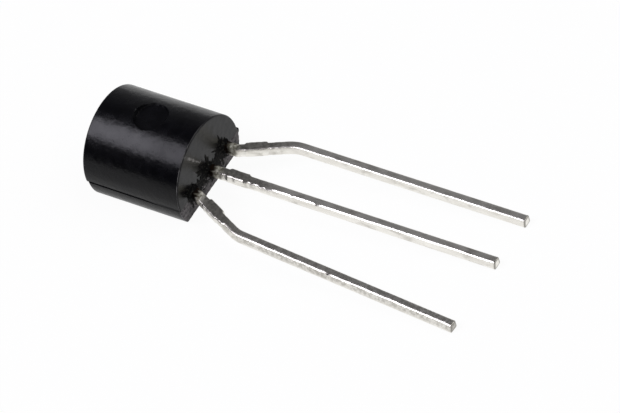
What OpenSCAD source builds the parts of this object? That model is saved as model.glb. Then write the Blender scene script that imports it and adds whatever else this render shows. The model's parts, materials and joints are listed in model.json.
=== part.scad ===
// Small three-lead transistor in a moulded half-round body.
// It lies as it comes to rest: the lead end of its flat and the lead tips touch the table.
// Body frame: X runs along the leads away from the body, Y across the row of leads and
// Z from the middle plane of the leads towards the round side. X = 0 is the lead end.

/* [Body] */
// Diameter of the round side
body_d = 4.6; // [4.2:0.02:5]
// Length of the body along the leads
body_len = 4.62; // [4.2:0.02:5]
// Distance from the middle plane of the leads to the flat
flat_offset = 1.03; // [0.8:0.01:1.3]
// Radius of the rim round each end of the body
rim_r = 0.06; // [0.04:0.01:0.15]

/* [Mould halves] */
// Distance from the middle plane of the leads down to the parting plane
parting_drop = 0.14; // [0.05:0.01:0.16]
// Step by which the flat half stands out over the round half at the parting line
mould_step = 0.03; // [0.02:0.01:0.06]
// Length by which the flat half stops short of the round half at the back
flat_set_back = 0.12; // [0.08:0.01:0.2]
// Radius of the bead of flash along the parting line on the emitter side
flash_r = 0.1; // [0.05:0.01:0.12]

/* [Round mark] */
// Diameter of the round mark in the round side
mark_d = 1.5; // [1:0.1:1.6]
// Distance of the mark's middle from the crown, towards the emitter side
mark_side = 0.15; // [0:0.01:0.2]
// Depth of the mark below the crown of the round side
mark_depth = 0.22; // [0.2:0.02:0.3]

/* [Lead section] */
// Width of a lead across the row
lead_w = 0.42; // [0.36:0.02:0.5]
// Thickness of a lead
lead_t = 0.38; // [0.3:0.02:0.46]
// Radius of the long edges of a lead
lead_edge_r = 0.1; // [0.04:0.01:0.12]

/* [Lead row] */
// Distance between neighbouring leads where they leave the body
lead_pitch = 1.27; // [1.15:0.01:1.4]
// Reach of the emitter lead's tip from the body
emitter_reach = 13.74; // [8:0.02:15]
// Reach of the collector lead's tip from the body
collector_reach = 13.64; // [8:0.02:15]
// Reach of the base lead's tip from the body
base_reach = 13.56; // [8:0.02:15]

/* [Lead forming] */
// Angle at which the outer leads spread from the body
spread_angle = 24.8; // [18:0.2:35]
// Centre radius of the bend next to the body
root_bend_r = 0.3; // [0.26:0.02:0.4]
// Centre radius of the bend that turns a lead into its tail
tail_bend_r = 0.8; // [0.4:0.05:1.2]
// Straight run of the emitter lead before it spreads
emitter_straight = 0.66; // [0.1:0.02:0.8]
// Straight run of the base lead before it spreads
base_straight = 0.08; // [0.08:0.02:0.8]
// Distance from the middle lead to the emitter lead's tail
emitter_spread = 2.3; // [2.1:0.01:2.7]
// Distance from the middle lead to the start of the base lead's tail
base_spread = 2.57; // [2.1:0.01:2.8]
// Angle by which the base lead's tail is pushed outwards
base_toe_out = 4.6; // [0:0.1:8]

/* [Dam bar stubs] */
// Width of a lead over the stubs where the dam bar was cut away
stub_w = 0.56; // [0.52:0.02:0.64]
// Length of the stubs along a lead
stub_len = 0.92; // [0.8:0.02:1]
// Distance along a lead from the body to the middle of its stubs
stub_mid = 1.45; // [1.35:0.01:1.6]

/* [Lead frame inside the body] */
// Depth of the lead frame's widened ends below the lead end of the body
plate_depth = 0.75; // [0.5:0.05:1]
// Width of the collector lead's die pad
pad_w = 1.3; // [1:0.05:1.4]
// Length of the die pad
pad_len = 1.9; // [1.5:0.05:2.2]
// Width of an outer lead's bonding post
post_w = 0.7; // [0.5:0.05:0.75]
// Length of a bonding post
post_len = 1.4; // [1.2:0.05:1.6]
// Corner radius of the die pad and the posts
plate_corner_r = 0.15; // [0.05:0.01:0.2]

/* [Die and bond wires] */
// Side of the square silicon die
die_w = 0.46; // [0.36:0.02:0.6]
// Thickness of the die
die_t = 0.2; // [0.15:0.01:0.25]
// Thickness of the die attach layer
attach_t = 0.03; // [0.02:0.01:0.05]
// Fillet of die attach that shows round the die
attach_margin = 0.05; // [0.03:0.01:0.1]
// Diameter of a bond wire
wire_d = 0.05; // [0.04:0.01:0.06]
// Height of a wire's loop over the line between its two feet
wire_loop = 0.45; // [0.3:0.05:0.5]
// Diameter of the ball that joins a wire to the die
ball_d = 0.12; // [0.09:0.01:0.15]
// Height of that ball
ball_h = 0.04; // [0.03:0.01:0.05]

/* [Hidden] */
$fn = 64;

body_r = body_d / 2;
flat_r = body_r + mould_step;
flat_len = body_len - flat_set_back;
plate_top = lead_t / 2;
die_top = plate_top + attach_t + die_t;
die_x = -plate_depth - post_len / 2;
foot_y = die_w / 4;

root_cut = root_bend_r * tan(spread_angle / 2);
base_bend_x = base_straight + (base_spread - lead_pitch) / tan(spread_angle);
base_tip_y = base_spread + (base_reach - base_bend_x) * tan(base_toe_out) + lead_w / 2 * cos(base_toe_out);

// The part tips forward until the longest lead touches the table
tip_reach = max(emitter_reach, collector_reach, base_reach + lead_w / 2 * sin(base_toe_out));
rest_tilt = atan((flat_offset - lead_t / 2) / tip_reach);
x_low = -max(body_len * cos(rest_tilt) + parting_drop * sin(rest_tilt),
    flat_len * cos(rest_tilt) + flat_offset * sin(rest_tilt));
x_high = tip_reach * cos(rest_tilt) + lead_t / 2 * sin(rest_tilt);
y_high = max(emitter_spread + lead_w / 2, flat_r + flash_r);
y_low = -max(base_tip_y, flat_r);

// Origin under the middle of the part, on the table
module at_rest() {
    translate([-(x_low + x_high) / 2, -(y_low + y_high) / 2, flat_offset * cos(rest_tilt)])
        rotate([0, rest_tilt, 0])
            children();
}

// Outline of a stamped plate with rounded corners, from x = 0 towards the back of the body
module plate_outline(length, width) {
    r = plate_corner_r;
    translate([-length, -width / 2 + r])
        square([length, width - 2 * r]);
    translate([-length + r, -width / 2])
        square([length - 2 * r, width]);
    for (x = [-length + r, -r], y = [-1, 1])
        translate([x, y * (width / 2 - r)])
            circle(r);
}

module plate(length, width) {
    translate([-plate_depth, 0, -lead_t / 2])
        linear_extrude(lead_t)
            plate_outline(length, width);
}

// Section of a lead: a rectangle with rounded corners
module lead_section(width) {
    r = lead_edge_r;
    square([width, lead_t - 2 * r], center = true);
    square([width - 2 * r, lead_t], center = true);
    for (x = [-1, 1], y = [-1, 1])
        translate([x * (width / 2 - r), y * (lead_t / 2 - r)])
            circle(r);
}

// Straight stretch of lead along X
module run(length, width = lead_w) {
    rotate([90, 0, 90])
        linear_extrude(length)
            lead_section(width);
}

// Bend to the left from the X direction
module left_bend(radius, angle) {
    translate([0, radius, 0])
        rotate([0, 0, -90])
            rotate_extrude(angle = angle)
                translate([radius, 0])
                    lead_section(lead_w);
}

module after_left_bend(radius, angle) {
    translate([0, radius, 0])
        rotate([0, 0, angle])
            translate([0, -radius, 0])
                children();
}

module right_bend(radius, angle) {
    mirror([0, 1, 0])
        left_bend(radius, angle);
}

module after_right_bend(radius, angle) {
    after_left_bend(-radius, -angle)
        children();
}

// Outer lead on the +Y side: bonding post, straight run, spread with its dam bar stub, tail
module outer_lead(straight, spread, toe_out, reach) {
    turn = spread_angle - toe_out;
    tail_cut = tail_bend_r * tan(turn / 2);
    slant = (spread - lead_pitch) / sin(spread_angle);
    bend_x = straight + slant * cos(spread_angle);
    root_run = plate_depth + straight - root_cut;
    slant_run = slant - root_cut - tail_cut;
    tail_run = (reach - bend_x) / cos(toe_out) - tail_cut;
    root_bend_len = root_bend_r * spread_angle * PI / 180;
    stub_start = stub_mid - stub_len / 2 - (straight - root_cut) - root_bend_len;
    translate([0, lead_pitch, 0]) {
        plate(post_len, post_w);
        translate([-plate_depth, 0, 0]) {
            run(root_run);
            translate([root_run, 0, 0]) {
                left_bend(root_bend_r, spread_angle);
                after_left_bend(root_bend_r, spread_angle) {
                    run(slant_run);
                    translate([stub_start, 0, 0])
                        run(stub_len, stub_w);
                    translate([slant_run, 0, 0]) {
                        right_bend(tail_bend_r, turn);
                        after_right_bend(tail_bend_r, turn)
                            run(tail_run);
                    }
                }
            }
        }
    }
}

module emitter_form() {
    outer_lead(emitter_straight, emitter_spread, 0, emitter_reach);
}

module base_form() {
    mirror([0, 1, 0])
        outer_lead(base_straight, base_spread, base_toe_out, base_reach);
}

module collector_form() {
    plate(pad_len, pad_w);
    translate([-plate_depth, 0, 0])
        run(plate_depth + collector_reach);
    translate([stub_mid - stub_len / 2, 0, 0])
        run(stub_len, stub_w);
}

module attach_form() {
    side = die_w + 2 * attach_margin;
    translate([die_x - side / 2, -side / 2, plate_top])
        cube([side, side, attach_t]);
}

module die_form() {
    translate([die_x - die_w / 2, -die_w / 2, plate_top + attach_t])
        cube([die_w, die_w, die_t]);
}

// Wire on the +Y side: an arc from a ball on the die down to the outer lead's post
module wire_form() {
    drop = plate_top - die_top;
    span = lead_pitch - foot_y;
    chord = norm([span, drop]);
    slope = atan2(drop, span);
    loop_r = (chord * chord / 4 + wire_loop * wire_loop) / (2 * wire_loop);
    half = asin(chord / 2 / loop_r);
    buried = asin(wire_d / loop_r);
    centre_drop = loop_r - wire_loop;
    difference() {
        translate([die_x, 0, 0])
            rotate([90, 0, 90]) {
                translate([foot_y + span / 2, die_top + drop / 2])
                    rotate([0, 0, slope])
                        translate([0, -centre_drop])
                            rotate([0, 0, 90 - half - buried])
                                rotate_extrude(angle = 2 * (half + buried))
                                    translate([loop_r, 0])
                                        circle(d = wire_d);
                translate([foot_y, die_top])
                    rotate([-90, 0, 0])
                        cylinder(h = ball_h, d = ball_d);
            }
        die_form();
        emitter_form();
    }
}

// Blank turned about the X axis, with a rounded rim at each end
module body_blank(radius, length) {
    rotate([0, -90, 0])
        rotate_extrude() {
            translate([0, rim_r])
                square([radius, length - 2 * rim_r]);
            square([radius - rim_r, length]);
            for (z = [rim_r, length - rim_r])
                translate([radius - rim_r, z])
                    circle(rim_r);
        }
}

module slab(low, high) {
    translate([-body_len - body_d, -body_d, low])
        cube([body_len + 2 * body_d, 2 * body_d, high - low]);
}

module round_half() {
    intersection() {
        body_blank(body_r, body_len);
        slab(-parting_drop, body_d);
    }
}

// Bead of flash, cut level with the parting plane
module flash_bead() {
    translate([-rim_r, flat_r, -parting_drop - flash_r / 2])
        rotate([0, -90, 0])
            cylinder(h = flat_len - 2 * rim_r, r = flash_r);
}

module flat_half() {
    intersection() {
        union() {
            body_blank(flat_r, flat_len);
            flash_bead();
        }
        slab(-flat_offset, -parting_drop);
    }
}

module round_mark() {
    translate([-body_len / 2, mark_side, body_r - mark_depth])
        cylinder(h = body_d, d = mark_d);
}

module moulded_body() {
    color([0.1, 0.1, 0.11])
        at_rest()
            difference() {
                union() {
                    round_half();
                    flat_half();
                }
                round_mark();
                emitter_form();
                collector_form();
                base_form();
                attach_form();
                die_form();
                wire_form();
                mirror([0, 1, 0])
                    wire_form();
            }
}

module emitter_lead() {
    color([0.78, 0.77, 0.74])
        at_rest()
            emitter_form();
}

module collector_lead() {
    color([0.78, 0.77, 0.74])
        at_rest()
            collector_form();
}

module base_lead() {
    color([0.78, 0.77, 0.74])
        at_rest()
            base_form();
}

module die_attach() {
    color([0.6, 0.6, 0.62])
        at_rest()
            attach_form();
}

module silicon_die() {
    color([0.3, 0.32, 0.38])
        at_rest()
            die_form();
}

module emitter_wire() {
    color([0.85, 0.66, 0.25])
        at_rest()
            wire_form();
}

module base_wire() {
    color([0.85, 0.66, 0.25])
        at_rest()
            mirror([0, 1, 0])
                wire_form();
}

moulded_body();
emitter_lead();
collector_lead();
base_lead();
die_attach();
silicon_die();
emitter_wire();
base_wire();
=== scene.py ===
"""Small three-lead transistor with a moulded half-round body, lying on a white table."""
import json
import math

import bpy
import numpy as np
from mathutils import Matrix, Vector


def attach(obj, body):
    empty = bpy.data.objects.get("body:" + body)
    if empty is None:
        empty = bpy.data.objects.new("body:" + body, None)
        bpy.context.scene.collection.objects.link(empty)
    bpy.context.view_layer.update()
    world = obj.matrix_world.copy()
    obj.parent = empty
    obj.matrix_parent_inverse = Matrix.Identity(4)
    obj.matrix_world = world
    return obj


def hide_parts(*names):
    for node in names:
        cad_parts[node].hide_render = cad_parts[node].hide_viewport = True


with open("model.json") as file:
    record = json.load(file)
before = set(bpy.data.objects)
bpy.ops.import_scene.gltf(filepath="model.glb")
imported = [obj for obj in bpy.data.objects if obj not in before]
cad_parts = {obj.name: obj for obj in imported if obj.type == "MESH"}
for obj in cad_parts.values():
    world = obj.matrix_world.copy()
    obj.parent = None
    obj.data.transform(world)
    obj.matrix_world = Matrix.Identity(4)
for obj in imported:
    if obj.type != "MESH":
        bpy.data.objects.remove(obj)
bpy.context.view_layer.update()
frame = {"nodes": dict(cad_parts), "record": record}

# Sizes in millimetres, in the part's own axes: u along the leads away from the body,
# v across the row of leads, w from the leads' middle plane towards the round side
MM = 0.001
BODY_R = 2.3
BODY_LEN = 4.62
FLAT_OFFSET = 1.03
RIM_R = 0.06
PARTING_DROP = 0.14
MOULD_STEP = 0.03
FLAT_SET_BACK = 0.12
FLASH_R = 0.1
MARK_R = 0.75
MARK_SIDE = 0.15
MARK_DEPTH = 0.22
LEAD_W = 0.42
LEAD_T = 0.38
LEAD_PITCH = 1.27
COLLECTOR_REACH = 13.64
SPREAD_ANGLE = 24.8
ROOT_BEND_R = 0.3
TAIL_BEND_R = 1.6
STUB_W = 0.56
STUB_LEN = 0.92
STUB_MID = 1.45
PLATE_DEPTH = 0.75
PLATE_CORNER_R = 0.15

# Stamped plates that the leads end in inside the body: length, width
POST = (1.4, 0.7)
PAD = (1.9, 1.3)

# Each outer lead: side of the row, straight run, spread of the tail, toe-out angle, reach
EMITTER = dict(side=1, straight=0.66, spread=2.3, toe_out=0.0, reach=13.74)
BASE = dict(side=-1, straight=0.08, spread=2.57, toe_out=4.6, reach=13.56)

# Each lead's upper edge on the base side is worn: how wide, the angle to which it rolls over, the share
# of the wear that is spared and up to what distance from the body, and the teeth left along it, each
# with its distance from the body and its half-length
COLLECTOR_TEETH = ((1.9, 0.08), (2.22, 0.05), (2.66, 0.07), (2.98, 0.14), (4.08, 0.03), (5.3, 0.03))
EMITTER_WEAR = dict(width=0.16, roll=22, spared=0, spared_to=0, teeth=())
COLLECTOR_WEAR = dict(width=0.15, roll=38, spared=0.25, spared_to=3.15, teeth=COLLECTOR_TEETH)
BASE_WEAR = dict(width=0.185, roll=26, spared=0.9, spared_to=2.5, teeth=((7.83, 0.06),))

# Fine shapes that only this scene has
FLAT_EDGE_R = 0.06
PARTING_EASE = 0.02
PARTING_NIP = 0.007
MARK_WALL = 0.05
MARK_ZONE = 0.9
TIP_EDGE_R = 0.03
SHARP_EDGE = (0.06, 0.05)
WORN_DEPTH = 0.29
LEAD_CROWN = 0.01
CUT_RAGGED = 0.008
STUB_CORNER_R = 0.04

# Share of a stub that is left on the base side of its lead, where it is cut nearly flush
FLUSH_SHARE = 0.3

# Uneven skin of the lead end: waves on the round and on the flat half, and grain where it is torn
END_WAVES = (0.002, 0.004)
TORN_GRAIN = 0.012

# Flash on the lead end, a black sheet that also paints the dark reflection of the leads and of the shaded
# table under them: spans of its sheet across and up, margin to the body's edge, depth, dip and rise from the
# end face, band along the leads, size of its spikes, the way they lean, which follows the leads' reflection,
# and how far at each lead, and the collar that climbs the leads
SHEET_SPAN_V = (-2.1, 1.75)
SHEET_SPAN_W = (-0.76, 1.3)
SHEET_MARGIN = 0.15
SHEET_DEPTH = 0.05
SHEET_DIP = 0.03
SHEET_RISE = 0.015
BAND_HEIGHT = 0.22
BAND_HALF_LEN = 1.52
SPIKE_BASE = 0.3
SPIKE_LEAN = math.radians(118)
SPIKE_REACH = (0.15, 0.6, 0.8)
COLLAR_REACH = 0.08
COLLAR_HEIGHT = 0.12

# Ends of the scuff on the lead end, across the row and up
SCUFF = ((-1.12, 2.0), (-0.36, 0.85))

# Where finishes change: the height and the distance from the lead end under which the body's sides are
# duller, the distances from the body up to which a lead is stained, crazed and darker on its upper face,
# and the distance from the middle lead past which the base lead is tarnished
DULL_HEIGHT = 1.5
DULL_LEN = 2.4
STAIN_LEN = 0.24
NECK_LEN = 0.55
DARKER_TOP_LEN = 1.6
TARNISH_OUT = 1.2

# Steps between the rings of a lead: fine ones in runs that end within the fine reach, then longer ones
FINE_STEP = 0.03
TAIL_STEP = 0.1
FINE_REACH = 7

FLAT_R = BODY_R + MOULD_STEP
FLAT_LEN = BODY_LEN - FLAT_SET_BACK

# Camera as the photograph sees the part, in degrees and millimetres of the part's own axes, with the
# focal length in pixels of the image's width
CAMERA_AZIMUTH = 44.277
CAMERA_ELEVATION = 48.917
CAMERA_ROLL = 18.141
CAMERA_DISTANCE = 261.23
CAMERA_AIM = (4.981, -0.193, 0.0)
FOCAL_PIXELS = 6500
IMAGE_WIDTH = 620
SENSOR_MM = 36

# Softboxes: direction from the part in the shared frame, side in metres, radiance, tint
MAIN_SOFTBOX = ((-0.42, -0.36, 0.83), 0.25, 7.0, (0.92, 0.9, 1))
FILL_SOFTBOX = ((0.5, 0.45, 0.74), 0.35, 2.8, (1, 1, 1))
SOFTBOX_DISTANCE = 0.45

# Studio: even grey with soft glows low over the far side of the table and in front of the leads, each
# with its direction, radiance and the power of the cosine by which it falls off
STUDIO_GREY = 0.09
GLOWS = [((-0.46, 0.87, 0.15), 0.26, 6), ((0.87, -0.42, 0.25), 0.9, 4)]
TABLE_SIDE = 3.0
TABLE_SHINE = 0.94

# The part's axes in the shared frame, from the mounts on its lead tails and its flat
mounts = {m["name"]: m for m in frame["record"]["mounts"]}
ALONG = np.array(mounts["lead_tails"]["axis"])
UPWARD = -np.array(mounts["package_flat"]["axis"])
ACROSS = np.cross(UPWARD, ALONG)
AXES = np.stack([ALONG, ACROSS, UPWARD])
ORIGIN = np.array(mounts["lead_tails"]["pos_m"]) - COLLECTOR_REACH * MM * ALONG


def to_frame(points):
    """Points in the part's own axes, in millimetres, carried into the shared frame in metres."""
    return ORIGIN + MM * points @ AXES


def smoothstep(x):
    """Eased step: 0 up to 0, 1 from 1 on, and three x squared less two x cubed between."""
    x = np.clip(x, 0, 1)
    return x * x * (3 - 2 * x)


def lattice_noise(x, y, cell, seed):
    """Smooth noise from -1 to 1: random values on a square lattice, eased between neighbours."""
    table = np.random.default_rng(seed).uniform(-1, 1, (128, 128))
    gx, gy = np.broadcast_arrays(np.asarray(x) / cell, np.asarray(y) / cell)
    ix, iy = np.floor(gx).astype(int), np.floor(gy).astype(int)
    fx, fy = smoothstep(gx - ix), smoothstep(gy - iy)
    near = table[ix % 128, iy % 128] * (1 - fx) + table[(ix + 1) % 128, iy % 128] * fx
    far = table[ix % 128, (iy + 1) % 128] * (1 - fx) + table[(ix + 1) % 128, (iy + 1) % 128] * fx
    return near * (1 - fy) + far * fy


def tube_shell(rings):
    """A closed surface through rings of points, shape (rows, columns, 3), with a pole at each end.

    Gives the points, the quads between rings and the fans to the poles, all turned outwards by
    the sign of the volume that they enclose."""
    rows, columns = rings.shape[:2]
    poles = np.stack([rings[0].mean(axis=0), rings[-1].mean(axis=0)])
    points = np.concatenate([rings.reshape(-1, 3), poles])
    ring = np.arange(columns)
    after = np.roll(ring, -1)
    start = np.arange(rows - 1)[:, None] * columns
    quads = np.stack([start + ring, start + after, start + columns + after, start + columns + ring], axis=-1)
    quads = quads.reshape(-1, 4)
    last = (rows - 1) * columns
    fans = np.concatenate([
        np.stack([after, ring, np.full(columns, rows * columns)], axis=-1),
        np.stack([last + ring, last + after, np.full(columns, rows * columns + 1)], axis=-1)])
    a, b, c = np.moveaxis(points[np.concatenate([quads[:, :3], quads[:, [0, 2, 3]], fans])], 1, 0)
    if np.einsum("ij,ij->", a, np.cross(b, c)) < 0:
        quads, fans = quads[:, ::-1], fans[:, ::-1]
    return points, quads, fans


def make_piece(name, shells, **fields):
    """One mesh object of closed shells. Each field is a function of the points in the part's axes
    that gives one value to a point, kept as an attribute for the piece's material."""
    faces, count = [], 0
    for points, quads, fans in shells:
        faces += (quads + count).tolist() + (fans + count).tolist()
        count += len(points)
    every = np.concatenate([points for points, _, _ in shells])
    mesh = bpy.data.meshes.new(name)
    mesh.from_pydata(to_frame(every).tolist(), [], faces)
    for key, field in fields.items():
        layer = mesh.attributes.new(key, "FLOAT", "POINT")
        layer.data.foreach_set("value", field(every).astype(np.float32))
    mesh.shade_smooth()
    mesh.set_sharp_from_angle(angle=math.radians(30))
    piece = bpy.data.objects.new(name, mesh)
    bpy.context.scene.collection.objects.link(piece)
    return piece


def rows_of(*coordinates):
    """Coordinates of equal or broadcast shape, stacked as points."""
    return np.stack(np.broadcast_arrays(*coordinates), axis=-1)


def round_outline(inset):
    """Outline of the round half across the leads, drawn in by inset: an arc down to the parting
    plane on each side, then the underside. One (v, w) row to a point, closest over the mark."""
    r = BODY_R - inset
    low = PARTING_DROP - PARTING_EASE * inset / RIM_R
    dip = math.degrees(math.asin(low / r))
    turn = np.radians(np.concatenate([
        np.linspace(90 + dip, 27, 70), np.linspace(27, -19, 116)[1:], np.linspace(-19, -90 - dip, 76)[1:]]))
    arc = rows_of(r * np.sin(turn), r * np.cos(turn))
    under = rows_of(np.linspace(arc[-1, 0], arc[0, 0], 62)[1:-1], -low)
    return np.concatenate([arc, under])


def flat_outline(inset):
    """Outline of the flat half, drawn in by inset: down the emitter side with its bead of flash,
    round a fillet, along the flat, up the other side and back along the parting plane."""
    r = FLAT_R - inset
    low = FLAT_OFFSET - 0.5 * inset
    top = PARTING_DROP + PARTING_EASE * inset / RIM_R
    ease_r, ease_low = r - FLAT_EDGE_R, low - FLAT_EDGE_R
    first, meet = math.pi / 2 + math.asin(top / r), math.acos(-ease_low / ease_r)
    flank = np.concatenate([np.linspace(first, first + 0.08, 22), np.linspace(first + 0.08, meet, 18)[1:]])
    side = rows_of(r * np.sin(flank), r * np.cos(flank))
    turn = np.linspace(meet, math.pi, 7)[1:]
    fillet_v = math.sqrt(ease_r ** 2 - ease_low ** 2)
    fillet = rows_of(fillet_v + FLAT_EDGE_R * np.sin(turn), FLAT_EDGE_R * np.cos(turn) - ease_low)
    bead_w = -PARTING_DROP - FLASH_R / 2
    bead = FLAT_R + np.sqrt(np.maximum(FLASH_R ** 2 - (side[:, 1] - bead_w) ** 2, 0)) - 2 * inset
    near_bead = np.abs(side[:, 1] - bead_w) < FLASH_R
    beaded = rows_of(np.where(near_bead, np.maximum(side[:, 0], bead), side[:, 0]), side[:, 1])
    flat = rows_of(np.linspace(fillet_v, -fillet_v, 62)[1:-1], -low)
    mirror = np.array([-1, 1])
    lower = np.concatenate([beaded, fillet, flat, (fillet * mirror)[::-1], (side * mirror)[::-1]])
    over = rows_of(np.linspace(lower[-1, 0], lower[0, 0], 62)[1:-1], -top)
    return np.concatenate([lower, over])


def half_shell_rings(outline, length, between, middle, counts):
    """Rings of one mould half from its lead end to its back: end face, rim, side, rim, end face.

    The rims are quarter rounds, between lists the distances of the rings along the side, and the
    rings of an end face are the outline drawn in towards the middle, as many as counts says."""
    quarter = np.radians(np.linspace(90, 0, 7))
    rim, inset = RIM_R * (1 - np.sin(quarter)), RIM_R * (1 - np.cos(quarter))
    depth = np.concatenate([rim, between, length - rim[::-1]])
    insets = np.concatenate([inset, np.zeros_like(between), inset[::-1]])
    outlines = np.stack([outline(i) for i in insets])
    side = np.concatenate([rows_of(-depth[:, None], outlines[..., 0])[..., :1], outlines], axis=-1)
    ends = []
    for ring, count in zip((side[0], side[-1]), counts):
        centre = np.array([ring[0, 0], *middle])
        ends.append(ring + (centre - ring) * np.linspace(0, 0.98, count)[1:, None, None])
    return np.concatenate([ends[0][::-1], side, ends[1]])


def press_round_mark(rings):
    """Lower the points inside the round mark to its flat floor, with an eased wall round it."""
    from_middle = np.hypot(rings[..., 0] + BODY_LEN / 2, rings[..., 1] - MARK_SIDE)
    inside = smoothstep((MARK_R - from_middle) / MARK_WALL) * (rings[..., 2] > 0)
    rings[..., 2] += inside * (BODY_R - MARK_DEPTH - rings[..., 2])


def at_lead_end(points):
    """1 on the end face that the leads leave, 0 elsewhere."""
    return smoothstep((points[..., 0] + RIM_R) / (0.6 * RIM_R))


def on_flat_half(points):
    """1 below the parting plane, 0 above it."""
    return smoothstep((-PARTING_DROP + 0.02 - points[..., 2]) / 0.04)


def torn_zone(points):
    """1 on the part of the lead end below the parting plane, where the skin is torn."""
    return at_lead_end(points) * on_flat_half(points)


def dulled(points):
    """How dull the sides are: more towards the lead end and low on the round half, and 1 on the flat
    half. The end face itself has 0."""
    low = 0.45 * smoothstep(DULL_HEIGHT - points[..., 2])
    forward = 0.4 * smoothstep((points[..., 0] + DULL_LEN) / 1.5)
    return (1 - at_lead_end(points)) * np.maximum(np.maximum(low, forward), on_flat_half(points))


def scuffed(points):
    """1 along an uneven scuff over the lead end from its rim towards the middle lead."""
    first, last = np.array(SCUFF)
    run = last - first
    offset = points[..., 1:] - first
    share = np.clip(offset @ run / (run @ run), 0, 1)
    away = np.linalg.norm(offset - share[..., None] * run, axis=-1)
    away = away + 0.05 * lattice_noise(points[..., 1], points[..., 2], 0.16, 57)
    return at_lead_end(points) * smoothstep(1.4 - away / 0.06)


def on_base_side(points):
    """0 on the emitter's side of the body, 1 on the base's side."""
    return smoothstep(-points[..., 1] - 0.2)


def make_body():
    """The moulding: a round half over a flat half, which meet in the parting plane.

    Next to that plane the round half flares out to the flat half's width at the lead end and is nipped
    in towards the back. The lead end is wavy, and grainy where it is torn."""
    middle = BODY_LEN / 2
    between = np.concatenate([
        np.linspace(RIM_R, middle - MARK_ZONE, 26)[1:],
        np.linspace(middle - MARK_ZONE, middle + MARK_ZONE, 91)[1:],
        np.linspace(middle + MARK_ZONE, BODY_LEN - RIM_R, 26)[1:-1]])
    upper = half_shell_rings(round_outline, BODY_LEN, between, (0, 0.8), (40, 10))
    press_round_mark(upper)
    near_parting = smoothstep(1 - (upper[..., 2] + PARTING_DROP) / 0.1)
    towards_back = smoothstep((-0.5 - upper[..., 0]) / 1.5)
    flare = MOULD_STEP - (MOULD_STEP + PARTING_NIP) * towards_back
    upper[..., 1] *= 1 + near_parting * flare / BODY_R
    between = np.linspace(RIM_R, FLAT_LEN - RIM_R, 40)[1:-1]
    lower = half_shell_rings(flat_outline, FLAT_LEN, between, (0, -0.6), (40, 8))
    for half, waves in zip((upper, lower), END_WAVES):
        wave = lattice_noise(half[..., 1], half[..., 2], 0.22, 11)
        grain = lattice_noise(half[..., 1], half[..., 2], 0.07, 12)
        half[..., 0] += at_lead_end(half) * waves * wave + torn_zone(half) * TORN_GRAIN * grain
    return make_piece("moulded_epoxy_body", [tube_shell(upper), tube_shell(lower)],
                      lead_end=at_lead_end, torn_zone=torn_zone, dulled=dulled,
                      scuffed=scuffed, on_base_side=on_base_side)


def make_flash_and_painted_shade():
    """Thin black sheet on the lead end along the row of leads, partly flash and partly painted shade: its
    spikes paint the dark reflection of the leads in the end face and its band that of the shaded table
    under them. The sheet lies over (v, w), climbs each lead as a low collar and dips under the end face
    where it stops, which leaves a ragged edge.

    Round each lead the sheet reaches as far as spikes of noise over the angle say, further to the side
    that they lean to."""
    w = np.linspace(*SHEET_SPAN_W, 154)[:, None]
    chord = np.sqrt((BODY_R - SHEET_MARGIN) ** 2 - w ** 2)
    first, last = np.maximum(-chord, SHEET_SPAN_V[0]), np.minimum(chord, SHEET_SPAN_V[1])
    v = first + (last - first) * np.linspace(0, 1, 288)
    exits = np.array([-LEAD_PITCH, 0, LEAD_PITCH])[:, None, None]
    # The band along the row paints the dark reflection of the shaded table under the leads, over real flash
    band = BAND_HEIGHT + 0.1 * lattice_noise(v, 0, 0.1, 51) + 0.07 * lattice_noise(v, w, 0.05, 53)
    band = band - np.where(w < 0, -0.35 * w, w)
    band = np.minimum(band, BAND_HALF_LEN - np.abs(v + 0.1))
    # The spikes paint the dark reflection of each lead in the end face and lean the way that it runs
    reach_v, reach_w = v - exits + 0.1, w - 0.06
    angle = np.arctan2(reach_w, reach_v)
    ragged = lattice_noise(angle, exits, 0.15, 52)
    lean = np.maximum(np.cos(angle - SPIKE_LEAN), 0) ** 3 * np.clip(0.55 + 0.9 * ragged, 0, 1.2)
    spike = SPIKE_BASE + np.array(SPIKE_REACH)[:, None, None] * lean + 0.2 * np.maximum(ragged, 0)
    cover = np.maximum(band, (spike - np.hypot(reach_v, reach_w)).max(axis=0))
    cover = cover + 0.04 * lattice_noise(v, w, 0.06, 56)
    off_v = np.maximum(np.abs(v - exits) - LEAD_W / 2, 0)
    off_w = np.maximum(np.abs(w) - LEAD_T / 2, 0)
    off_lead = np.hypot(off_v, off_w).min(axis=0)
    climb = COLLAR_HEIGHT + 0.07 * lattice_noise(v, w, 0.1, 54)
    collar = smoothstep(1 - off_lead / COLLAR_REACH) * climb
    skin = np.clip(0.25 * cover, -SHEET_DIP, SHEET_RISE)
    top = skin + 0.006 * lattice_noise(v, w, 0.04, 55) + collar
    upper = rows_of(top, v, w)
    lower = rows_of(np.full_like(top, -SHEET_DEPTH), v, w)
    return make_piece("lead_end_flash_and_painted_shade", [tube_shell(np.concatenate([upper, lower[:, ::-1]], axis=1))])


def worn_corner(width, roll):
    """Unit profile of a worn edge from the face to the side: over half its width an arc that turns by
    the angle roll, then a steep flat. Gives the shares of its width and of its depth."""
    angle = np.radians(np.linspace(0, roll, 5))
    arc_w = 0.5 * np.sin(angle) / np.sin(angle[-1])
    arc_t = 0.5 * width / WORN_DEPTH * (1 - np.cos(angle)) / np.sin(angle[-1])
    flat = np.linspace(0, 1, 4)[1:]
    flat_t = arc_t[-1] + (1 - arc_t[-1]) * flat
    return np.concatenate([arc_w, 0.5 + 0.5 * flat]), np.concatenate([arc_t, flat_t])


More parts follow.
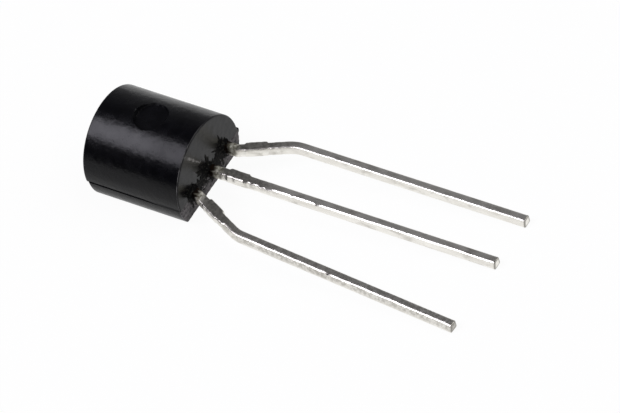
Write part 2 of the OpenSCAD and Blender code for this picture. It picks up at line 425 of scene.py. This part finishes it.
def lead_section(left, right, worn_side, worn, width, roll, ease, scale):
    """Rings of (across, up) points of a rectangle with eased corners, one ring to a station.

    left and right are the half-widths of each station. The corners are small quarter ellipses, but the
    upper one on the worn side is sized by ease and goes over to the worn edge by the share worn. The
    faces are a little crowned, and scale draws the thickness in."""
    share = np.linspace(0, 1, 8)
    turn = np.radians(90 * (np.arange(4)[:, None] + share))
    side, level = np.array([[1], [-1], [-1], [1]]), np.array([[1], [1], [-1], [-1]])
    half = np.where(side > 0, left[:, None, None], right[:, None, None])
    corner = 0 if worn_side > 0 else 1
    eased = np.where(np.arange(4) == corner, ease[:, None], 1)
    sharp_w, sharp_t = np.multiply.outer(SHARP_EDGE, eased)[..., None]
    across = side * (half - sharp_w) + sharp_w * np.cos(turn)
    up = level * (LEAD_T / 2 - sharp_t) + sharp_t * np.sin(turn)
    worn_w, worn_t = [column[::-1] if worn_side > 0 else column for column in worn_corner(width, roll)]
    worn_across = worn_side * (half[:, corner] - width * (1 - worn_w))
    across[:, corner] += worn[:, None] * (worn_across - across[:, corner])
    up[:, corner] += worn[:, None] * (LEAD_T / 2 - WORN_DEPTH * worn_t - up[:, corner])
    spans = across[:, 0::2, -1:] + share[1:-1] * (across[:, 1::2, :1] - across[:, 0::2, -1:])
    levels = np.broadcast_to(level[0::2] * LEAD_T / 2, spans.shape)

    def ring(corners, faces):
        """Corners and faces in their order round the section."""
        upper = [corners[:, 0], faces[:, 0], corners[:, 1]]
        lower = [corners[:, 2], faces[:, 1], corners[:, 3]]
        return np.concatenate(upper + lower, axis=1)

    across, up = ring(across, spans), ring(up, levels)
    up = up - np.sign(up) * LEAD_CROWN * (across / np.maximum(left, right)[:, None]) ** 2
    return across, up * scale[:, None]


def widened(s, start, end, half, corner):
    """Extra half-width between start and end over the lead's own, with rounded corners."""
    from_end = np.clip(np.minimum(s - start, end - s), 0, corner)
    rise = np.sqrt(np.maximum(corner ** 2 - (corner - from_end) ** 2, 0)) / corner
    inside = (s >= start) & (s <= end)
    return inside * np.maximum(half - LEAD_W / 2 - corner * (1 - rise), 0)


def stations(stops):
    """Distances along a lead that include the stops: fine steps to past the bends, then longer ones."""
    runs = []
    for a, b in zip(stops[:-1], stops[1:]):
        step = FINE_STEP if b < FINE_REACH else TAIL_STEP
        runs.append(np.linspace(a, b, max(1, math.ceil((b - a) / step)), endpoint=False))
    return np.concatenate(runs + [stops[-1:]])


def sweep_lead(name, headings, start_v, side, plate, wear, seed):
    """A lead: the section carried along a path whose heading is given at distances along it.

    The path is the running sum of the heading's cosine and sine. The half-width grows over the
    stamped plate inside the body and over the dam bar stub, and the cut sides are ragged. The upper
    edge on the base side is worn unevenly, less where it is spared, and not at its teeth."""
    plate_len, plate_w = plate
    back = PLATE_DEPTH + plate_len
    stub_start = back + STUB_MID - STUB_LEN / 2
    stub_end = stub_start + STUB_LEN
    length = headings[-1][0]
    tip = length - TIP_EDGE_R * (1 - np.sin(np.radians([0, 25, 50, 75])))
    stops = [0, PLATE_CORNER_R, plate_len - PLATE_CORNER_R, plate_len, stub_start, stub_end, *tip]
    s = stations(np.unique(stops + [d for d, _ in headings]))
    angle = np.radians(np.interp(s, *zip(*headings)))
    mean_angle = np.concatenate([angle[:1], (angle[1:] + angle[:-1]) / 2])
    step = np.diff(s, prepend=0)
    u = -back + np.cumsum(step * np.cos(mean_angle))
    v = start_v + np.cumsum(step * np.sin(mean_angle))
    wide = LEAD_W / 2 + widened(s, 0, plate_len, plate_w / 2, PLATE_CORNER_R)
    stub = widened(s, stub_start, stub_end, STUB_W / 2, STUB_CORNER_R)
    left, right = (stub, FLUSH_SHARE * stub)[::side]
    outside = smoothstep((s - back) / 0.3)
    ragged = CUT_RAGGED * outside * smoothstep((back + 4 - s) / 2)
    rough = [lattice_noise(s, 0, 0.13, seed + i) * ragged for i in (0, 1)]
    draw_in = TIP_EDGE_R * (1 - np.sqrt(1 - np.clip((s - length) / TIP_EDGE_R + 1, 0, 1) ** 2))
    place, half = np.reshape(wear["teeth"], (-1, 2)).T
    tooth = smoothstep(1.5 - np.abs(s[:, None] - back - place) / half).max(axis=1, initial=0)
    spared = wear["spared"] * smoothstep((back + wear["spared_to"] - s) / 0.2)
    uneven = 0.12 * lattice_noise(s, 0, 0.5, seed + 3) + 0.08 * lattice_noise(s, 0, 0.17, seed + 4)
    worn = (1 - spared + uneven) * (1 - tooth)
    across, up = lead_section(wide + left + rough[0] - draw_in, wide + right + rough[1] - draw_in, -side,
                              worn, wear["width"], wear["roll"], 1 - 0.85 * tooth, 1 - 2 * draw_in / LEAD_T)
    rings = rows_of(u[:, None] - across * np.sin(angle)[:, None],
                    side * (v[:, None] + across * np.cos(angle)[:, None]), up)
    return make_piece(name, [tube_shell(rings)], clear_of_resin=clear_of_resin, clear_of_body=clear_of_body,
                      clear_of_stub=clear_of_stub, tarnished=tarnished, cut_edge=cut_edge)


def clear_of_resin(points):
    """0 where resin stains a lead at the body, 1 past a ragged edge."""
    edge = STAIN_LEN + 0.12 * lattice_noise(points[..., 1], points[..., 2], 0.09, 61)
    return smoothstep((points[..., 0] - edge) / 0.2)


def clear_of_body(points):
    """0 on a lead's neck next to the body, 1 from the dam bar stub on."""
    return smoothstep((points[..., 0] - NECK_LEN) / 0.3)


def clear_of_stub(points):
    """0 on a lead's upper face up to the end of the dam bar stub, rising to 1 along the tail and down
    its sides."""
    along_tail = smoothstep((points[..., 0] - DARKER_TOP_LEN) / 2.6)
    return np.maximum(along_tail, smoothstep((0.17 - points[..., 2]) / 0.05))


def tarnished(points):
    """1 on the base lead's tail, fading to 0 up its slant and down its sides, and 0 on the other leads."""
    return smoothstep(-points[..., 1] - TARNISH_OUT) * smoothstep((points[..., 2] + 0.17) / 0.2)


def cut_edge(points):
    """1 on the edge round a lead's cut tip, where the tin gets painted shade, 0 in the middle of its end and
    along the lead.
    """
    from_tip = points[..., 0].max() - points[..., 0]
    middle = points[from_tip < 0.02].mean(axis=0)
    off_middle = np.hypot(points[..., 1] - middle[1], points[..., 2] - middle[2])
    return smoothstep((0.07 - from_tip) / 0.04) * smoothstep(off_middle / 0.15)


def make_outer_lead(name, seed, wear, side, straight, spread, toe_out, reach):
    """An outer lead: post, straight run, bend, slant with the stub, bend, tail."""
    spread_angle = math.radians(SPREAD_ANGLE)
    turn = spread_angle - math.radians(toe_out)
    root_cut = ROOT_BEND_R * math.tan(spread_angle / 2)
    tail_cut = TAIL_BEND_R * math.tan(turn / 2)
    slant = (spread - LEAD_PITCH) / math.sin(spread_angle)
    bend_u = straight + slant * math.cos(spread_angle)
    root_end = PLATE_DEPTH + POST[0] + straight - root_cut
    slant_start = root_end + ROOT_BEND_R * spread_angle
    slant_end = slant_start + slant - root_cut - tail_cut
    tail_start = slant_end + TAIL_BEND_R * turn
    length = tail_start + (reach - bend_u) / math.cos(math.radians(toe_out)) - tail_cut
    headings = [(0, 0), (root_end, 0), (slant_start, SPREAD_ANGLE), (slant_end, SPREAD_ANGLE),
                (tail_start, toe_out), (length, toe_out)]
    return sweep_lead(name, headings, LEAD_PITCH, side, POST, wear, seed)


def make_middle_lead(name, seed, wear):
    """The middle lead: die pad, then one straight run with the stub."""
    headings = [(0, 0), (PLATE_DEPTH + PAD[0] + COLLECTOR_REACH, 0)]
    return sweep_lead(name, headings, 0, 1, PAD, wear, seed)


def feed(tree, socket, value):
    """Links an output socket to the input socket, or keeps any other value in it."""
    if isinstance(value, bpy.types.NodeSocket):
        tree.links.new(value, socket)
    else:
        socket.default_value = value


def node(tree, kind, **inputs):
    """A shader node with some inputs fed, each by its name with underscores for spaces."""
    made = tree.nodes.new(kind)
    for key, value in inputs.items():
        feed(tree, made.inputs[key.replace("_", " ")], value)
    return made


def object_noise(tree, scale, stretch=(1, 1, 1), detail=3):
    """Noise on Object coordinates; scale counts cells to the millimetre, stretch makes it directional."""
    place = tree.nodes.new("ShaderNodeTexCoord").outputs["Object"]
    mapped = node(tree, "ShaderNodeMapping", Vector=place, Scale=[scale / MM * k for k in stretch])
    noise = node(tree, "ShaderNodeTexNoise", Vector=mapped.outputs["Vector"], Scale=1, Detail=detail)
    return noise.outputs["Fac"]


def field_value(tree, name):
    """Value of a field that the piece keeps as an attribute."""
    made = tree.nodes.new("ShaderNodeAttribute")
    made.attribute_name = name
    return made.outputs["Fac"]


def ranged(tree, value, low, high, start=0.3, end=0.7):
    """Value carried from the span start to end onto the span low to high; each end may be linked."""
    return node(tree, "ShaderNodeMapRange", Value=value, From_Min=start, From_Max=end,
                To_Min=low, To_Max=high).outputs["Result"]


def of_two(tree, operation, first, second):
    """Result of a math node; each value is a number or an output socket."""
    made = tree.nodes.new("ShaderNodeMath")
    made.operation = operation
    feed(tree, made.inputs[0], first)
    feed(tree, made.inputs[1], second)
    return made.outputs["Value"]


def blend_colour(tree, share, first, second):
    """Colour between first and second; each is a colour value or an output socket."""
    mix = tree.nodes.new("ShaderNodeMix")
    mix.data_type = "RGBA"
    feed(tree, mix.inputs["Factor"], share)
    for socket, value in zip([s for s in mix.inputs if s.type == "RGBA"], (first, second)):
        feed(tree, socket, (*value, 1) if isinstance(value, tuple) else value)
    return next(s for s in mix.outputs if s.type == "RGBA")


def bump(tree, height, distance_mm, strength=1.0):
    """Normal tilted by a pattern of heights, which rises by the distance at most."""
    made = node(tree, "ShaderNodeBump", Height=height, Distance=distance_mm * MM, Strength=strength)
    return made.outputs["Normal"]


def new_material(name, specular=0.5, metallic=0.0):
    """A material, with its node tree and its shader."""
    material = bpy.data.materials.new(name)
    material.use_nodes = True
    shader = material.node_tree.nodes["Principled BSDF"]
    shader.inputs["Specular IOR Level"].default_value = specular
    shader.inputs["Metallic"].default_value = metallic
    return material, material.node_tree, shader


def epoxy_material():
    """Black filled epoxy: satin skin with a fine grain, duller low down, pitted where torn, paler along the
    rim of the lead end and pale where scuffed."""
    material, tree, shader = new_material("black_epoxy")
    torn, lead_end = field_value(tree, "torn_zone"), field_value(tree, "lead_end")
    cloud = object_noise(tree, 2.4, detail=4)
    grain = object_noise(tree, 4, detail=5)
    mottle = object_noise(tree, 6, detail=5)
    skin = blend_colour(tree, ranged(tree, cloud, 0, 1), (0.0006, 0.0006, 0.0012), (0.0014, 0.0014, 0.0024))
    pits = ranged(tree, mottle, 0, 1, 0.38, 0.62)
    pitted = blend_colour(tree, pits, (0.016, 0.014, 0.015), (0.1, 0.09, 0.093))
    # Paler along the rim of the lead end, more so in patches on the base's side
    rim = of_two(tree, "MULTIPLY", lead_end, of_two(tree, "SUBTRACT", 1, lead_end))
    patchy = ranged(tree, cloud, 0.3, 2.6, 0.46, 0.62)
    rim_patches = of_two(tree, "MULTIPLY", field_value(tree, "on_base_side"), patchy)
    pale_rim = of_two(tree, "MULTIPLY", rim, of_two(tree, "ADD", rim_patches, 0.35))
    scuff = of_two(tree, "MULTIPLY", field_value(tree, "scuffed"), ranged(tree, mottle, 0, 0.8, 0.4, 0.62))
    pale = of_two(tree, "MAXIMUM", pale_rim, scuff)
    colour = blend_colour(tree, pale, blend_colour(tree, torn, skin, pitted), (0.17, 0.165, 0.16))
    tree.links.new(colour, shader.inputs["Base Color"])
    shine = ranged(tree, field_value(tree, "dulled"), 0.21, 0.06, 0, 1)
    tree.links.new(shine, shader.inputs["Specular IOR Level"])
    side_gloss = ranged(tree, cloud, 0.21, 0.29, 0.35, 0.65)
    end_gloss = ranged(tree, lead_end, side_gloss, 0.27, 0, 1)
    tree.links.new(ranged(tree, torn, end_gloss, 0.5, 0, 1), shader.inputs["Roughness"])
    tree.links.new(bump(tree, grain, 0.022, 0.5), shader.inputs["Normal"])
    return material


def flash_and_painted_shade_material():
    """Dull black flash that also paints the dark reflection and shade on the lead end, with paler specks
    where it is scuffed.
    """
    material, tree, shader = new_material("black_flash_and_painted_shade", specular=0.05)
    speck = object_noise(tree, 11, detail=5)
    pale = ranged(tree, speck, 0, 1, 0.55, 0.78)
    # Near-black: painted shade for the dark reflections on the lead end
    colour = blend_colour(tree, pale, (0.0015, 0.0014, 0.0014), (0.055, 0.053, 0.045))
    tree.links.new(colour, shader.inputs["Base Color"])
    shader.inputs["Roughness"].default_value = 0.65
    tree.links.new(bump(tree, speck, 0.02), shader.inputs["Normal"])
    return material


def tin_material():
    """Tin plate: warm grey metal with drawn streaks, darker on the stub, crazed on the neck next to the
    body and stained where it leaves it. Tarnish is darker too, and the edge round the cut tip is darkened
    as painted shade."""
    material, tree, shader = new_material("tin_plate", metallic=1)
    clean, off_neck = field_value(tree, "clear_of_resin"), field_value(tree, "clear_of_body")
    off_stub = field_value(tree, "clear_of_stub")
    streak, patch = object_noise(tree, 6, (0.15, 1, 1), detail=4), object_noise(tree, 2.5, detail=5)
    speck, craze = object_noise(tree, 16), object_noise(tree, 7, detail=5)
    drawn = blend_colour(tree, ranged(tree, streak, 0, 1), (0.78, 0.755, 0.7), (0.94, 0.92, 0.87))
    scuff = object_noise(tree, 3, (0.5, 1, 1), detail=6)
    scuffed_plate = blend_colour(tree, ranged(tree, scuff, 0, 1, 0.54, 0.76), drawn, (0.5, 0.48, 0.44))
    patchy = ranged(tree, craze, 0.2, 0.65, 0.42, 0.58)
    tarnish = of_two(tree, "MULTIPLY", field_value(tree, "tarnished"), patchy)
    plate = blend_colour(tree, tarnish, scuffed_plate, (0.35, 0.335, 0.3))
    # The upper face is darker, in mottled tones, up to the end of the stub and fading along the tail
    stub_top_mottle = ranged(tree, craze, 0, 1, 0.36, 0.66)
    darker_stub_top = blend_colour(tree, stub_top_mottle, (0.3, 0.29, 0.265), (0.54, 0.52, 0.475))
    crazed = blend_colour(tree, ranged(tree, craze, 0, 1, 0.4, 0.6), (0.3, 0.28, 0.22), (0.95, 0.93, 0.84))
    outer = blend_colour(tree, off_stub, darker_stub_top, plate)
    neck = blend_colour(tree, off_neck, crazed, outer)
    rooted = blend_colour(tree, clean, (0.02, 0.012, 0.008), neck)
    # Painted shade: the edge round each cut tip is darkened
    tip_shade = ranged(tree, field_value(tree, "cut_edge"), 0, 0.8, 0.6, 0.95)
    colour = blend_colour(tree, tip_shade, rooted, (0.2, 0.19, 0.17))
    tree.links.new(colour, shader.inputs["Base Color"])
    tail_gloss = ranged(tree, patch, 0.27, 0.34)
    tree.links.new(ranged(tree, off_neck, 0.55, tail_gloss, 0, 1), shader.inputs["Roughness"])
    pitted = bump(tree, speck, 0.006, 0.4)
    ridged = node(tree, "ShaderNodeBump", Height=streak, Distance=0.007 * MM, Normal=pitted)
    tree.links.new(ridged.outputs["Normal"], shader.inputs["Normal"])
    return material


def inner_material(name, first, second, metallic, roughness):
    """Plain finish of a sealed inner piece: two near tones in fine noise."""
    material, tree, shader = new_material(name, metallic=metallic)
    tone = ranged(tree, object_noise(tree, 30), 0, 1)
    tree.links.new(blend_colour(tree, tone, first, second), shader.inputs["Base Color"])
    shader.inputs["Roughness"].default_value = roughness
    return material


def table_material():
    """White table: it shines plain white to the camera and to reflections and keeps a soft shadow."""
    material = bpy.data.materials.new("white_table")
    material.use_nodes = True
    tree = material.node_tree
    tree.nodes.clear()
    rays = tree.nodes.new("ShaderNodeLightPath").outputs
    mirrored = of_two(tree, "MAXIMUM", rays["Is Glossy Ray"], rays["Is Transmission Ray"])
    seen = of_two(tree, "MAXIMUM", rays["Is Camera Ray"], mirrored)
    matt = node(tree, "ShaderNodeBsdfDiffuse", Color=(0.86, 0.86, 0.86, 1))
    shine = node(tree, "ShaderNodeEmission", Color=(1, 1, 1, 1), Strength=1)
    mixed = tree.nodes.new("ShaderNodeMixShader")
    tree.links.new(ranged(tree, seen, 0, TABLE_SHINE, 0, 1), mixed.inputs[0])
    tree.links.new(matt.outputs["BSDF"], mixed.inputs[1])
    tree.links.new(shine.outputs["Emission"], mixed.inputs[2])
    output = tree.nodes.new("ShaderNodeOutputMaterial")
    tree.links.new(mixed.outputs["Shader"], output.inputs["Surface"])
    return material


def make_camera():
    """Camera aimed at a point between the leads and rolled as the photograph is."""
    a, e, roll = np.radians([CAMERA_AZIMUTH, CAMERA_ELEVATION, CAMERA_ROLL])
    back = np.array([np.sin(a) * np.cos(e), -np.cos(a) * np.cos(e), np.sin(e)])
    level_right = np.array([np.cos(a), np.sin(a), 0])
    level_up = np.cross(back, level_right)
    right = np.cos(roll) * level_right - np.sin(roll) * level_up
    up = np.sin(roll) * level_right + np.cos(roll) * level_up
    place = Vector(to_frame(np.array(CAMERA_AIM) + back * CAMERA_DISTANCE))
    turn = Matrix(np.stack([right, up, back]) @ AXES).transposed().to_4x4()
    data = bpy.data.cameras.new("camera")
    data.sensor_width = SENSOR_MM
    data.lens = FOCAL_PIXELS / IMAGE_WIDTH * SENSOR_MM
    data.clip_start, data.clip_end = 0.01, 10
    camera = bpy.data.objects.new("camera", data)
    camera.matrix_world = Matrix.Translation(place) @ turn
    bpy.context.scene.collection.objects.link(camera)
    bpy.context.scene.camera = camera


def make_softbox(name, direction, side, radiance, tint):
    """Square lamp that faces the middle of the frame from the given direction."""
    data = bpy.data.lights.new(name, "AREA")
    data.shape = "SQUARE"
    data.size = side
    data.energy = radiance * math.pi * side ** 2
    data.color = tint
    towards = Vector(direction).normalized()
    lamp = bpy.data.objects.new(name, data)
    turn = towards.to_track_quat("Z", "Y").to_matrix().to_4x4()
    lamp.matrix_world = Matrix.Translation(towards * SOFTBOX_DISTANCE) @ turn
    bpy.context.scene.collection.objects.link(lamp)


def make_studio():
    """World light: grey plus glows that fall off as a power of the cosine from their directions."""
    world = bpy.data.worlds.new("dim_studio")
    bpy.context.scene.world = world
    world.use_nodes = True
    tree = world.node_tree
    looking = tree.nodes.new("ShaderNodeTexCoord").outputs["Generated"]
    strength = STUDIO_GREY
    for direction, radiance, spread in GLOWS:
        facing = tree.nodes.new("ShaderNodeVectorMath")
        facing.operation = "DOT_PRODUCT"
        tree.links.new(looking, facing.inputs[0])
        facing.inputs[1].default_value = Vector(direction).normalized()
        in_front = ranged(tree, facing.outputs["Value"], 0, 1, 0, 1)
        glow = of_two(tree, "MULTIPLY", of_two(tree, "POWER", in_front, spread), radiance)
        strength = of_two(tree, "ADD", glow, strength)
    background = tree.nodes["Background"]
    background.inputs["Color"].default_value = (1, 1, 1.03, 1)
    tree.links.new(strength, background.inputs["Strength"])


def make_table():
    """The table: one flat square under the part."""
    half = TABLE_SIDE / 2
    mesh = bpy.data.meshes.new("table")
    corners = [(-half, -half, 0), (half, -half, 0), (half, half, 0), (-half, half, 0)]
    mesh.from_pydata(corners, [], [(0, 1, 2, 3)])
    mesh.materials.append(table_material())
    table = bpy.data.objects.new("table", mesh)
    bpy.context.scene.collection.objects.link(table)


def dress(piece, material, cad_node=None):
    """Gives a piece its material and its body, and hides the CAD node that it stands for, if any."""
    piece.data.materials.append(material)
    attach(piece, "root")
    if cad_node:
        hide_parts(cad_node)


bpy.context.scene.view_settings.view_transform = "Standard"
make_camera()
make_studio()
make_softbox("main_softbox", *MAIN_SOFTBOX)
make_softbox("fill_softbox", *FILL_SOFTBOX)
make_table()

dress(make_body(), epoxy_material(), "moulded_body")
# Black sheet on the lead end: flash, and painted shade for the dark reflections of the leads and the shaded
# table
dress(make_flash_and_painted_shade(), flash_and_painted_shade_material())
tin = tin_material()
emitter = make_outer_lead("emitter_tinned_lead", 21, EMITTER_WEAR, **EMITTER)
dress(emitter, tin, "emitter_lead")
collector = make_middle_lead("collector_tinned_lead", 31, COLLECTOR_WEAR)
dress(collector, tin, "collector_lead")
base = make_outer_lead("base_tinned_lead", 41, BASE_WEAR, **BASE)
dress(base, tin, "base_lead")

gold = inner_material("bond_gold", (0.8, 0.58, 0.2), (0.9, 0.7, 0.3), 1, 0.25)
inner = {
    "die_attach": inner_material("silver_attach", (0.5, 0.5, 0.5), (0.62, 0.62, 0.62), 1, 0.5),
    "silicon_die": inner_material("silicon", (0.16, 0.17, 0.21), (0.22, 0.23, 0.28), 0.6, 0.15),
    "emitter_wire": gold,
    "base_wire": gold,
}
for name, material in inner.items():
    mesh = frame["nodes"][name].data
    mesh.materials.clear()
    mesh.materials.append(material)
